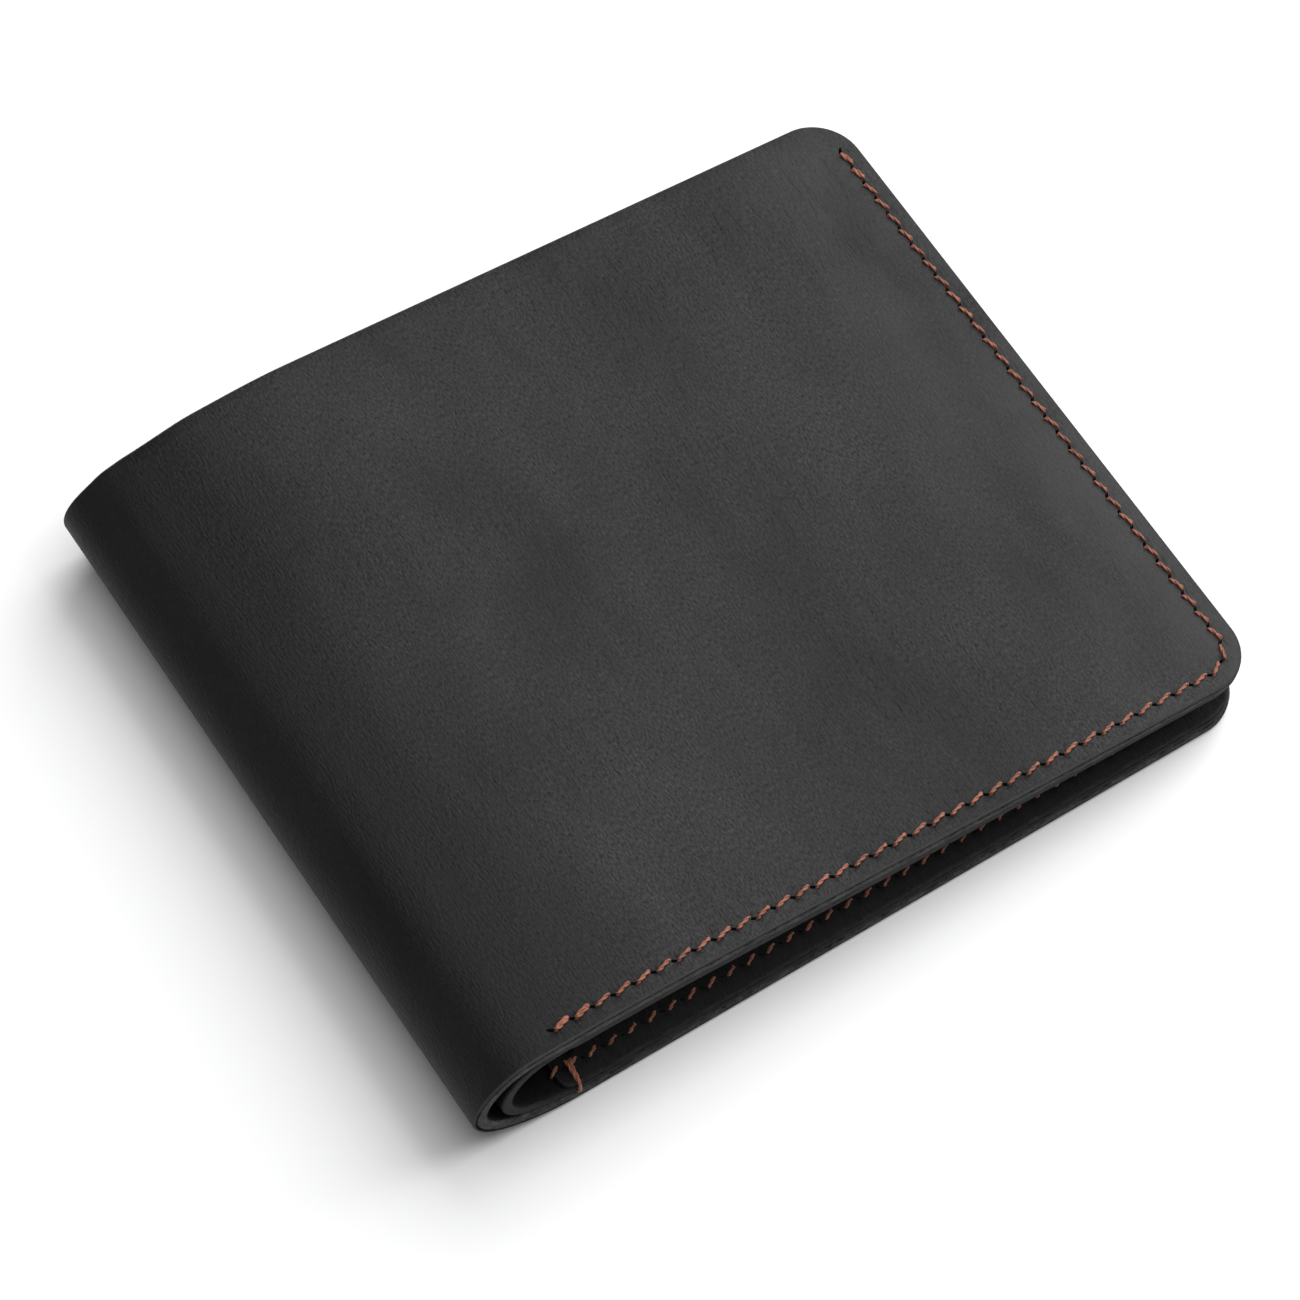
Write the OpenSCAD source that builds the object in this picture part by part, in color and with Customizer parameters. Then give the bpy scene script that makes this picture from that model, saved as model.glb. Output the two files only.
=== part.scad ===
// Bifold wallet, closed and lying on its back half.
// +X runs from the fold to the open edge, +Y from the stitched bottom edge to the mouth
// of the bill compartment, and +Z up. The origin is the middle of the footprint.
//
// The outer cover and the bill panel are each one strip of leather in the real wallet.
// Both cross the fold, so here each is cut at five fold lines into rigid strips.
// Turn angle: 0 where the back half ends, 90 at the fold's outermost line, 180 on top.

/* [Wallet] */
// Closed width, from the fold to the open edge
wallet_w = 116; // [108:1:124]
// Height, from the stitched bottom edge to the mouth
wallet_h = 96; // [92:1:104]
// Thickness at the fold
fold_t = 20; // [19:0.5:23]
// Thickness at the open edge
edge_t = 11.1; // [11:0.1:13]
// Radius of the corners at the open edge
corner_r = 6.5; // [4:0.5:9]

/* [Leather] */
// Thickness of the outer cover
cover_t = 2; // [1.7:0.1:2.1]
// Thickness of the bill panel
panel_t = 1.5; // [1.2:0.1:1.6]
// Thickness of the lower card pocket
pocket_t = 1; // [0.8:0.1:1.1]
// Thickness of the upper and middle card slots
slot_t = 0.7; // [0.5:0.1:0.8]

/* [Fold] */
// Outer radius of the wide curve under the fold
low_r = 19.4; // [16:0.2:21]
// Turn of the wide curve, in degrees
low_turn = 40; // [34:1:42]
// Turn along which the bill panel still lies on the cover, in degrees
panel_turn = 23; // [21:1:26]

/* [Pockets] */
// Height of the lower card pocket above the bottom edge
pocket_h = 50; // [44:1:54]
// Step from the top of one card slot to the next
slot_step = 11; // [8:1:13]
// Depth of a card slot, from its top to its base
slot_depth = 54.5; // [50:0.5:56]
// Distance from the open edge to the pockets' edge beside the fold
pocket_len = 103; // [102:0.2:103.4]
// Distance that the bill panel stops short of the mouth
panel_drop = 3; // [0:0.5:5]

/* [Thread] */
// Distance from the edge of the leather to the middle of the seam
seam_inset = 2.4; // [2:0.1:3.5]
// Distance from the mouth to the first stitch
seam_start = 5.8; // [5:0.1:8]
// Distance from the open edge to the seam beside the fold
side_seam = 99.4; // [98:0.1:99.6]
// Width of a thread
thread_w = 0.8; // [0.5:0.1:1]
// Thickness of a thread
thread_t = 0.4; // [0.3:0.05:0.45]

/* [Hidden] */
$fn = 64;

cover_colour = "#414243";
panel_colour = "#38393a";
pocket_colour = "#2f3031";
thread_colour = "#96573f";

spines = 4;         // strips of the fold between the two halves
sample = 4;         // degrees from one point of a curve to the next
cut_gap = 0.05;     // half the gap between two strips at a fold line
spare_turn = 1;     // degrees left between two strips when the wallet lies open
reach = 40;         // longer than any cut
eps = 0.01;

// Outward direction and direction of travel at a turn angle
function out(a) = [-sin(a), -cos(a)];
function ahead(a) = [-cos(a), sin(a)];

// The fold's outer curve: a wide arc below and a tighter one round the back and over the top
high_r = (fold_t - low_r * (1 - cos(low_turn))) / (1 + cos(low_turn));
flat_x = -wallet_w / 2 + low_r * sin(low_turn) + high_r * (1 - sin(low_turn));
low_c = [flat_x, low_r];
high_c = low_c + (low_r - high_r) * out(low_turn);

// The front half slopes down from the fold to the open edge
front_edge = [wallet_w / 2, edge_t];
edge_far = front_edge - high_c;
wedge = asin(high_r / norm(edge_far)) - atan2(edge_far[1], edge_far[0]);
full_turn = 180 + wedge;

// The bill panel's outer face: it leaves the cover at panel_turn and meets it again on top
panel_low_r = low_r - cover_t;
panel_cos = cos(panel_turn - wedge);
panel_r = ((front_edge - low_c) * out(full_turn) + panel_low_r * panel_cos - cover_t)
    / (1 + panel_cos);
panel_c = low_c + (panel_low_r - panel_r) * out(panel_turn);

// Fold lines 1 to 5. Each lies where the cover keeps its length when it is laid flat
high_turn = (full_turn - low_turn) / spines;
function bend(k) = k == 1 ? low_turn : high_turn;
function fold_turn(k) = k == 1 ? low_turn / 2 : low_turn + (k - 1.5) * high_turn;
function flat_keeping(r, a) = r * (1 / cos(a / 2) - (tan(a / 2) - a * PI / 360) / sin(a / 2));
function fold_line(k) = k == 1
    ? low_c + flat_keeping(low_r - cover_t / 2, bend(1)) * out(fold_turn(1))
    : high_c + flat_keeping(high_r - cover_t / 2, bend(k)) * out(fold_turn(k));

// Levels and lines of the pockets, in the frame of one half
bottom = -wallet_h / 2;
mouth = wallet_h / 2;
stack_t = cover_t + panel_t;
pocket_top = bottom + pocket_h;
middle_top = pocket_top + slot_step;
upper_top = middle_top + slot_step;
slot_gap = 0.1;      // between the side tabs of one slot and the next
window_open = 15;    // from the open edge to where the pocket rises
window_fold = 93;    // from the open edge to where it falls again
window_low = 6;      // from the bottom edge to where it rises
window_wall = 1;
body_gap = 0.4;      // between a slot's body and the sides of the window
base_seam = 2;       // from a slot's base to its seam
groove_t = 0.45;     // depth of the seam's groove in the cover
base_t = 0.35;       // thickness of the thread along a slot's base

// Points on a curve at a depth below its outer face
function cover_point(depth, a) = a < low_turn
    ? low_c + (low_r - depth) * out(a)
    : high_c + (high_r - depth) * out(a);
function panel_point(depth, a) = a < panel_turn
    ? low_c + (panel_low_r - depth) * out(a)
    : panel_c + (panel_r - depth) * out(a);
function turns(a0, a1) = concat([a0],
    [for (a = [(floor(a0 / sample) + 1) * sample : sample : a1 - eps]) a], [a1]);
function reversed(list) = [for (i = [len(list) - 1 : -1 : 0]) list[i]];
function cover_curve(depth, a0, a1) = [for (a = turns(a0, a1)) cover_point(depth, a)];
function panel_curve(depth, a0, a1) = [for (a = turns(a0, a1)) panel_point(depth, a)];
function back_end(depth) = [[wallet_w / 2, depth]];
function front_end(depth) = [front_edge - depth * out(full_turn)];

// Sections of the two strips of leather
module cover_section(a0, a1) {
    polygon(concat(cover_curve(0, a0, a1), reversed(cover_curve(cover_t, a0, a1))));
}

module panel_section(a0, a1) {
    polygon(concat(panel_curve(0, a0, a1), reversed(panel_curve(panel_t, a0, a1))));
}

module back_section(depth, t) {
    outer = depth == 0 ? cover_curve(0, 0, low_turn) : panel_curve(0, 0, low_turn);
    inner = depth == 0 ? cover_curve(t, 0, low_turn) : panel_curve(t, 0, low_turn);
    polygon(concat(back_end(depth), outer, reversed(inner), back_end(depth + t)));
}

module front_section(depth, t) {
    a = fold_turn(5) - high_turn;
    outer = depth == 0 ? cover_curve(0, a, full_turn) : panel_curve(0, a, full_turn);
    inner = depth == 0 ? cover_curve(t, a, full_turn) : panel_curve(t, a, full_turn);
    polygon(concat(outer, front_end(depth), front_end(depth + t), reversed(inner)));
}

// All that lies on one side of a fold line. Inside the fold the cut is square to the
// leather; outside, it leans back, so that two strips meet there only when laid flat
module side_of(k, way) {
    o = out(fold_turn(k));
    h = fold_line(k) + cut_gap * way;
    lean = bend(k) / 2 + spare_turn;
    tip = h + reach * (cos(lean) * o + sin(lean) * way);
    polygon([h, tip, tip + 3 * reach * way, h - reach * o + 3 * reach * way, h - reach * o]);
}

module before(k) { side_of(k, -ahead(fold_turn(k))); }
module after(k) { side_of(k, ahead(fold_turn(k))); }

// Draws an outline of the XZ plane as a prism along Y
module along_y(y0, y1) {
    translate([0, y1, 0]) rotate([90, 0, 0]) linear_extrude(y1 - y0) children();
}

// One half is drawn with the open edge at X = 0, the fold towards -X and its outer face at Z = 0
module place_back() { translate([wallet_w / 2, 0, 0]) children(); }
module place_front() {
    translate([wallet_w / 2, 0, edge_t]) rotate([0, wedge, 0]) mirror([0, 0, 1]) children();
}

// Outline of a half, drawn in by d on its stitched sides, with round corners at the open edge
module outline(length, d = 0) {
    r = corner_r - d;
    side = wallet_h / 2 - d;
    translate([-length, -side]) square([length - corner_r, 2 * side]);
    translate([-length, r - side]) square([length - d, 2 * (side - r)]);
    for (s = [-1, 1]) translate([-corner_r, s * (side - r)]) circle(r);
}

module half_prism() {
    translate([0, 0, -reach]) linear_extrude(2 * reach) outline(wallet_w + reach);
}

// The line of the edge seam between two heights, w wide
module seam_line(length, w, y0, y1) {
    intersection() {
        difference() {
            outline(length, seam_inset - w / 2);
            outline(length + 1, seam_inset + w / 2);
        }
        translate([-length, y0]) square([length, y1 - y0]);
    }
}

module seam_groove(length) {
    translate([0, 0, -1]) linear_extrude(1 + groove_t)
        seam_line(length, thread_w + 0.1, bottom, mouth - seam_start);
}

// The edge seam's two runs: one in the cover's groove and one on the pockets and the panel
module edge_thread(outer_length, inner_length) {
    translate([0, 0, groove_t - thread_t]) linear_extrude(thread_t)
        seam_line(outer_length, thread_w, bottom, mouth - seam_start);
    for (run = [
        [bottom, pocket_top, pocket_t],
        [pocket_top + slot_gap, upper_top, slot_t],
        [upper_top + slot_gap, mouth - seam_start, 0]
    ])
        translate([0, 0, stack_t + run[2]]) linear_extrude(thread_t)
            seam_line(inner_length, thread_w, run[0], run[1]);
}

side_low = bottom + seam_inset + thread_w;

module side_run(y0, y1, z, t, w) {
    translate([-side_seam - w / 2, y0, z]) cube([w, y1 - y0, t]);
}

// The seam beside the fold ties the pockets to the bill panel and leaves the cover free
module side_thread() {
    side_run(side_low, pocket_top, stack_t + pocket_t, thread_t, thread_w);
    side_run(pocket_top + slot_gap, upper_top - 1, stack_t + slot_t, thread_t, thread_w);
    side_run(side_low, upper_top - 1, cover_t + groove_t - thread_t, thread_t, thread_w);
}

module side_groove() {
    side_run(side_low - 0.05, upper_top - 0.95, cover_t - 1, 1 + groove_t, thread_w + 0.1);
}

module base_run(top, level, t, spare) {
    x0 = -window_fold + 4 - spare;
    w = thread_w + 2 * spare;
    translate([x0, top - slot_depth + base_seam - w / 2, stack_t + level - base_t])
        cube([window_fold - window_open - 8 + 2 * spare, w, t]);
}

// A flat piece of a half between two heights
module plate(y0, y1, z, t) {
    translate([0, 0, z]) linear_extrude(t) intersection() {
        outline(flat_len);
        translate([-flat_len, y0]) square([flat_len, y1 - y0]);
    }
}

module window(y0, y1, grow, z, t) {
    translate([-window_fold - grow, y0, z])
        cube([window_fold - window_open + 2 * grow, y1 - y0, t]);
}

// The back half is flat as far as flat_len; a pocket follows the curve from there on
flat_len = wallet_w / 2 - flat_x;
lip_turn = asin((pocket_len - flat_len) / (panel_low_r - panel_t));

module back_lip(y0, y1, t) {
    along_y(y0, y1) translate([-wallet_w / 2, 0]) polygon(concat(
        panel_curve(panel_t, 0, lip_turn), reversed(panel_curve(panel_t + t, 0, lip_turn))));
}

module front_lip(y0, y1, t) {
    translate([-pocket_len, y0, stack_t]) cube([pocket_len - flat_len, y1 - y0, t]);
}

module lip(back, y0, y1, t) {
    if (back) back_lip(y0, y1, t);
    else front_lip(y0, y1, t);
}

// Lower card pocket: stitched flat on three sides, and raised over the two slots behind it
module lower_pocket(back) {
    low = bottom + window_low;
    difference() {
        union() {
            plate(bottom, pocket_top, stack_t, pocket_t);
            lip(back, bottom, pocket_top, pocket_t);
            window(low - window_wall, pocket_top, window_wall, stack_t,
                2 * slot_t + pocket_t);
        }
        window(low, pocket_top + 1, 0, stack_t - eps, 2 * slot_t + eps);
    }
}

// Card slots: a body between two side tabs, T-shaped so that the stitched sides stay thin
module slot_body(top, tabs_low, level) {
    low = top - slot_depth;
    difference() {
        window(low, tabs_low + window_wall, -body_gap, stack_t + level, slot_t);
        base_run(top, level + slot_t, 1, 0.05);
    }
}

module upper_slot(back) {
    tabs = middle_top + slot_gap;
    plate(tabs, upper_top, stack_t, slot_t);
    lip(back, tabs, upper_top, slot_t);
    slot_body(upper_top, tabs, 0);
}

module middle_slot(back) {
    tabs = pocket_top + slot_gap;
    difference() {
        union() {
            plate(tabs, middle_top, stack_t, slot_t);
            lip(back, tabs, middle_top, slot_t);
            window(tabs, middle_top, window_wall, stack_t, 2 * slot_t);
        }
        window(tabs - 1, middle_top + 1, 0, stack_t - eps, slot_t + eps);
    }
    slot_body(middle_top, tabs, slot_t);
}

// The two strips of leather
module back_cover() {
    color(cover_colour) difference() {
        intersection() {
            along_y(bottom, mouth) intersection() { back_section(0, cover_t); before(1); }
            place_back() half_prism();
        }
        place_back() seam_groove(flat_len - 0.2);
    }
}

module front_cover() {
    color(cover_colour) difference() {
        intersection() {
            along_y(bottom, mouth) intersection() { front_section(0, cover_t); after(5); }
            place_front() half_prism();
        }
        place_front() seam_groove(pocket_len + 1);
    }
}

module back_bill_panel() {
    color(panel_colour) difference() {
        intersection() {
            along_y(bottom, mouth - panel_drop) intersection() {
                back_section(cover_t, panel_t);
                before(1);
            }
            place_back() half_prism();
        }
        place_back() side_groove();
    }
}

module front_bill_panel() {
    color(panel_colour) difference() {
        intersection() {
            along_y(bottom, mouth - panel_drop) intersection() {
                front_section(cover_t, panel_t);
                after(5);
            }
            place_front() half_prism();
        }
        place_front() side_groove();
    }
}

module cover_spine(i) {
    color(cover_colour) along_y(bottom, mouth) intersection() {
        cover_section(max(0, fold_turn(i) - 15), min(full_turn, fold_turn(i + 1) + 15));
        after(i);
        before(i + 1);
    }
}

module panel_spine(i) {
    color(panel_colour) along_y(bottom, mouth - panel_drop) intersection() {
        panel_section(max(0, fold_turn(i) - 25), min(full_turn, fold_turn(i + 1) + 25));
        after(i);
        before(i + 1);
    }
}

// Pockets and threads, the same on both halves
module back_lower_pocket() { color(pocket_colour) place_back() lower_pocket(true); }
module front_lower_pocket() { color(pocket_colour) place_front() lower_pocket(false); }
module back_middle_slot() { color(pocket_colour) place_back() middle_slot(true); }
module front_middle_slot() { color(pocket_colour) place_front() middle_slot(false); }
module back_upper_slot() { color(pocket_colour) place_back() upper_slot(true); }
module front_upper_slot() { color(pocket_colour) place_front() upper_slot(false); }

module back_edge_thread() {
    color(thread_colour) place_back() edge_thread(flat_len - 0.3, flat_len - 0.3);
}
module front_edge_thread() {
    color(thread_colour) place_front() edge_thread(pocket_len + 0.9, pocket_len);
}
module back_side_thread() { color(thread_colour) place_back() side_thread(); }
module front_side_thread() { color(thread_colour) place_front() side_thread(); }

module base_thread(top, level) { base_run(top, level + slot_t, base_t, 0); }
module back_upper_slot_thread() { color(thread_colour) place_back() base_thread(upper_top, 0); }
module front_upper_slot_thread() { color(thread_colour) place_front() base_thread(upper_top, 0); }
module back_middle_slot_thread() {
    color(thread_colour) place_back() base_thread(middle_top, slot_t);
}
module front_middle_slot_thread() {
    color(thread_colour) place_front() base_thread(middle_top, slot_t);
}

back_cover();
back_bill_panel();
back_upper_slot();
back_middle_slot();
back_lower_pocket();
back_edge_thread();
back_side_thread();
back_upper_slot_thread();
back_middle_slot_thread();
for (i = [1 : spines]) {
    cover_spine(i);
    panel_spine(i);
}
front_cover();
front_bill_panel();
front_upper_slot();
front_middle_slot();
front_lower_pocket();
front_edge_thread();
front_side_thread();
front_upper_slot_thread();
front_middle_slot_thread();
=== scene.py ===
"""Looks of the bifold wallet: leather cut, folded and saddle-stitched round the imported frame.

Lengths are in millimetres until make_mesh() turns them into metres. A piece of leather is laid
out flat, in s (along the leather from the back half's open edge) and y, and then folded.
"""

import math

import bpy
import numpy as np
from mathutils import Matrix, Vector
from mathutils.geometry import delaunay_2d_cdt


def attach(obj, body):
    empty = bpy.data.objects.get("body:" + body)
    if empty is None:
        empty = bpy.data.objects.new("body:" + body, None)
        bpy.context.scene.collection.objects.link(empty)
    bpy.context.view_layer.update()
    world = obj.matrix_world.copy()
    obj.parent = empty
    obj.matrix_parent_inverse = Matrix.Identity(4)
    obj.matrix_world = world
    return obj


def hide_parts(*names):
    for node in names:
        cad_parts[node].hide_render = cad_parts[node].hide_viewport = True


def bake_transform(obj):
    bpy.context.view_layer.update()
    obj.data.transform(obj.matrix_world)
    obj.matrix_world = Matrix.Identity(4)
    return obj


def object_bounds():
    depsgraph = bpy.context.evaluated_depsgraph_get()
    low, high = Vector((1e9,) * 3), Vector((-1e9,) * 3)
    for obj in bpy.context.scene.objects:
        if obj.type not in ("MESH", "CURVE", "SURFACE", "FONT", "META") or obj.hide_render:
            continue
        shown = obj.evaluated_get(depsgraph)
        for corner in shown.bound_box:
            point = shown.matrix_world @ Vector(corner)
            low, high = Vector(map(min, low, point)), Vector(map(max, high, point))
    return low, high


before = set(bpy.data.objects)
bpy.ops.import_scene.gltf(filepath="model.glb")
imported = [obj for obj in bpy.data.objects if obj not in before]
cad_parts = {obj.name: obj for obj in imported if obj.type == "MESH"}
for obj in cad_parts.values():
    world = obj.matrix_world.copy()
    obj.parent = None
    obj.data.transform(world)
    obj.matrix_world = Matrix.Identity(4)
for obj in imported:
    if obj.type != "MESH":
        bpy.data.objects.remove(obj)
cad_low, cad_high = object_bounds()
rng = np.random.default_rng(7)
MM = 0.001

# ---------------------------------------------------------------- sizes, as in the CAD model
MOUTH, BOTTOM = cad_high.y / MM, cad_low.y / MM
FOLD_T = cad_high.z / MM
EDGE_T = 11.1
COVER_T, PANEL_T, POCKET_T, SLOT_T = 2.0, 1.5, 1.0, 0.7
CORNER_R = 6.5
LOW_R, LOW_TURN, PANEL_TURN = 19.4, math.radians(40), math.radians(23)
POCKET_H, SLOT_STEP, SLOT_DEPTH, POCKET_LEN, PANEL_DROP = 50, 11, 54.5, 103, 3
SEAM_INSET, SEAM_START, SIDE_SEAM = 2.4, 5.8, 99.4
HALF_W = (cad_high.x - cad_low.x) / MM / 2

# ---------------------------------------------------------------- sizes of the finish
EDGE_ROUND = 0.27        # radius of a cut edge
GRID = 1.7               # spacing of the mesh on open leather
STITCH_SIDE, STITCH_BOTTOM = 2.73, 2.87
STITCH_LINE, STITCH_BASE = 2.9, 3.2    # pitch beside the fold, and under the card slots
SLIT_LONG, SLIT_WIDE = 0.68, 0.22      # half the length and width of a stitch slit
SLIT_TURN = math.radians(32)
HOLE_CLEAR = 1.9         # the open mesh keeps this far from a slit's centre
DIMPLE, DIMPLE_R = 0.32, 0.8
GROOVE = 0.4             # depth and width of the groove under the cover's rolled edge
THICK = 1.8              # leather thicker than this gets the groove
ROUND_SHARE = 0.29       # how far in a round edge is, halfway round, as a share of its radius
PLY_R, PLY_OFF = 0.142, 0.108          # a ply's radius, and its way from the thread's middle
PLY_LAY = 2.1            # length of one turn of the plies
TUCK = 0.42              # how much shorter a stitch shows at each end on the inside
TWIN_GAP = 0.15          # half the gap between the two threads of a doubled stitch
SET_BACK = 0.2           # how far each inner leather's rim stands back from the one outside it
RIM_SQUEEZE = 0.65       # the share of its thickness that the back half's stack keeps at the rim
INNER_INSET = 0.5        # the seam comes out this much further from the rim on the inside


def out(a):
    """The way out of the wallet where the leather has turned by a."""
    return np.stack([-np.sin(a), -np.cos(a)], -1)


def ahead(a):
    """The way the strip runs where it has turned by a."""
    return np.stack([-np.cos(a), np.sin(a)], -1)


def smooth(x, a, b):
    t = np.clip((x - a) / (b - a), 0, 1)
    return t * t * (3 - 2 * t)


# ---------------------------------------------------------------- the fold, as in the CAD model
HIGH_R = (FOLD_T - LOW_R * (1 - math.cos(LOW_TURN))) / (1 + math.cos(LOW_TURN))
FLAT_X = -HALF_W + LOW_R * math.sin(LOW_TURN) + HIGH_R * (1 - math.sin(LOW_TURN))
LOW_C = np.array([FLAT_X, LOW_R])
HIGH_C = LOW_C + (LOW_R - HIGH_R) * out(LOW_TURN)
FRONT_EDGE = np.array([HALF_W, EDGE_T])
edge_far = FRONT_EDGE - HIGH_C
WEDGE = math.asin(HIGH_R / np.linalg.norm(edge_far)) - math.atan2(edge_far[1], edge_far[0])
FULL = math.pi + WEDGE
panel_cos = math.cos(PANEL_TURN - WEDGE)
PANEL_R = ((FRONT_EDGE - LOW_C) @ out(FULL) + (LOW_R - COVER_T) * panel_cos - COVER_T) / (1 + panel_cos)
PANEL_C = LOW_C + (LOW_R - COVER_T - PANEL_R) * out(PANEL_TURN)
FLAT_LEN = HALF_W - FLAT_X
BEND_TURNS = [0.0] + [LOW_TURN + k * (FULL - LOW_TURN) / 4 for k in range(5)]


class Path:
    """A strip's outer face, from the back half's open edge round the fold to the front's."""

    def __init__(self, depth, r1, turn1, r2, c2, bow_share):
        self.depth, self.r1, self.turn1, self.r2, self.c2 = depth, r1, turn1, r2, c2
        self.bow_share = bow_share
        self.s1 = FLAT_LEN
        self.s2 = self.s1 + r1 * turn1
        self.s3 = self.s2 + r2 * (FULL - turn1)
        start = c2 + r2 * out(FULL)
        end = FRONT_EDGE - depth * out(FULL)
        self.start = start
        self.s4 = self.s3 + float((end - start) @ ahead(FULL))

    def turn(self, s):
        low = (s - self.s1) / self.r1
        high = self.turn1 + (s - self.s2) / self.r2
        return np.where(s < self.s1, 0, np.where(s < self.s2, low, np.minimum(high, FULL)))

    def base(self, s):
        a = self.turn(s)
        back = np.stack([HALF_W - s, np.full_like(s, self.depth)], -1)
        low = LOW_C + self.r1 * out(a)
        high = self.c2 + self.r2 * out(a)
        front = self.start + (s - self.s3)[:, None] * ahead(FULL)
        pick = np.digitize(s, [self.s1, self.s2, self.s3])[:, None]
        return np.select([pick == 0, pick == 1, pick == 2], [back, low, high], front)

    def place(self, s, y, depth):
        """Points at a depth below the outer face, with the leather's soft bow added."""
        s, y, depth = np.broadcast_arrays(*[np.asarray(v, float) for v in (s, y, depth)])
        a = self.turn(s)
        swell = bow(a, self.s4 - s, y, self.bow_share)
        full = self.depth + depth
        depth = full * squeeze(np.minimum(s, self.s4 - s), y, s > self.s2) - self.depth
        xz = self.base(s) + out(a) * (swell - depth)[:, None]
        return np.stack([xz[:, 0], y, xz[:, 1]], -1)

    def crossing(self, k):
        """Where this strip meets the line from the fold's centre at the end of bend k."""
        s = np.linspace(self.s1, self.s4, 8000)
        c = LOW_C if k == 0 else HIGH_C
        rel = self.base(s) - c
        o, w = out(BEND_TURNS[k]), ahead(BEND_TURNS[k])
        hit = np.abs(rel @ w) + 100 * (rel @ o < 0)
        return float(s[np.argmin(hit)])


def bow(a, e, y, share):
    """How far the closed front half stands proud of a flat board; e is the way to its open edge.
    Towards the mouth the fold is slacker and slopes more."""
    far = smooth(y, BOTTOM - 14, MOUTH + 8)
    dip = smooth(a, math.radians(66), math.radians(140)) * smooth(e, 97, 110)
    crown = smooth(e, 103, 84) * e / 82 * (e < 103)
    held = share + (1 - share) * smooth(a, math.radians(140), FULL)
    return -(0.7 + 2.1 * far) * dip * held + (0.6 + 0.9 * far) * crown


def squeeze(e, y, front):
    """How thin the leathers are pared and pressed at the stitched rim, 1 where they aren't.
    The front half's rim gets thicker away from its open edge, and is whole 60 mm from it."""
    side = smooth(e, 5.2, 0) * smooth(y, MOUTH - 1, MOUTH - 9)
    low = smooth(y, BOTTOM + 5.2, BOTTOM) * smooth(e, 107, 96)
    least = np.where(front, RIM_SQUEEZE + (1 - RIM_SQUEEZE) * smooth(e, -14, 60), RIM_SQUEEZE)
    return 1 - (1 - least) * np.maximum(side, low)


cover = Path(0, LOW_R, LOW_TURN, HIGH_R, HIGH_C, 1.0)
panel = Path(COVER_T, LOW_R - COVER_T, PANEL_TURN, PANEL_R, PANEL_C, 0.55)


# ---------------------------------------------------------------- flat outlines
def rounded(corners, step=1.2):
    """A closed outline with round corners: corners are (s, y, radius), counterclockwise."""
    n = len(corners)
    pts = []
    for i in range(n):
        p0, p1, p2 = (np.array(corners[(i + k) % n][:2], float) for k in (-1, 0, 1))
        r = corners[i][2]
        u, v = (p0 - p1) / np.linalg.norm(p0 - p1), (p2 - p1) / np.linalg.norm(p2 - p1)
        if r == 0:
            pts.append(p1)
            continue
        half = math.acos(np.clip(u @ v, -1, 1)) / 2
        cut = r / math.tan(half)
        c = p1 + (u + v) / np.linalg.norm(u + v) * r / math.sin(half)
        a, b = p1 + u * cut - c, p1 + v * cut - c
        sweep = math.atan2(a[0] * b[1] - a[1] * b[0], a @ b)
        steps = max(4, int(abs(sweep) * r / 0.7))
        for t in np.linspace(0, sweep, steps + 1):
            pts.append(c + np.array([a[0] * math.cos(t) - a[1] * math.sin(t),
                                     a[0] * math.sin(t) + a[1] * math.cos(t)]))
    ring = []
    for p, q in zip(pts, pts[1:] + pts[:1]):
        m = max(1, int(np.linalg.norm(q - p) / step))
        ring += [p + (q - p) * t / m for t in range(m)]
    return np.array(ring)


def inward(ring, seams):
    """The way each point of an outline moves when the cut edge is rounded off. Edges on a
    seam line, where one piece goes on as the next, don't move."""
    nxt = np.roll(ring, -1, 0)
    d = nxt - ring
    n = np.stack([-d[:, 1], d[:, 0]], -1) / np.linalg.norm(d, axis=1)[:, None]
    for s in seams:
        n[(abs(ring[:, 0] - s) < 1e-6) & (abs(nxt[:, 0] - s) < 1e-6)] = 0
    prev = np.roll(n, 1, 0)
    both = (np.abs(n).sum(1) > 0) & (np.abs(prev).sum(1) > 0)
    scale = np.where(both, 1 + (n * prev).sum(1), 1)
    return (n + prev) / scale[:, None]


def inside(points, ring):
    """Even-odd test of many points against one outline."""
    x, y = points[:, 0][:, None], points[:, 1][:, None]
    x0, y0 = ring[:, 0], ring[:, 1]
    x1, y1 = np.roll(x0, -1), np.roll(y0, -1)
    cross = (y0 > y) != (y1 > y)
    at = x0 + (y - y0) * (x1 - x0) / np.where(y1 == y0, 1e-12, y1 - y0)
    return (cross & (x < at)).sum(1) % 2 == 1


def nearest(points, others):
    """How far each point is from the nearest of the others."""
    gap = np.full(len(points), 1e9)
    for i in range(0, len(others), 200):
        d = points[:, None, :] - others[None, i:i + 200, :]
        gap = np.minimum(gap, np.sqrt((d ** 2).sum(-1)).min(1))
    return gap


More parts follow.
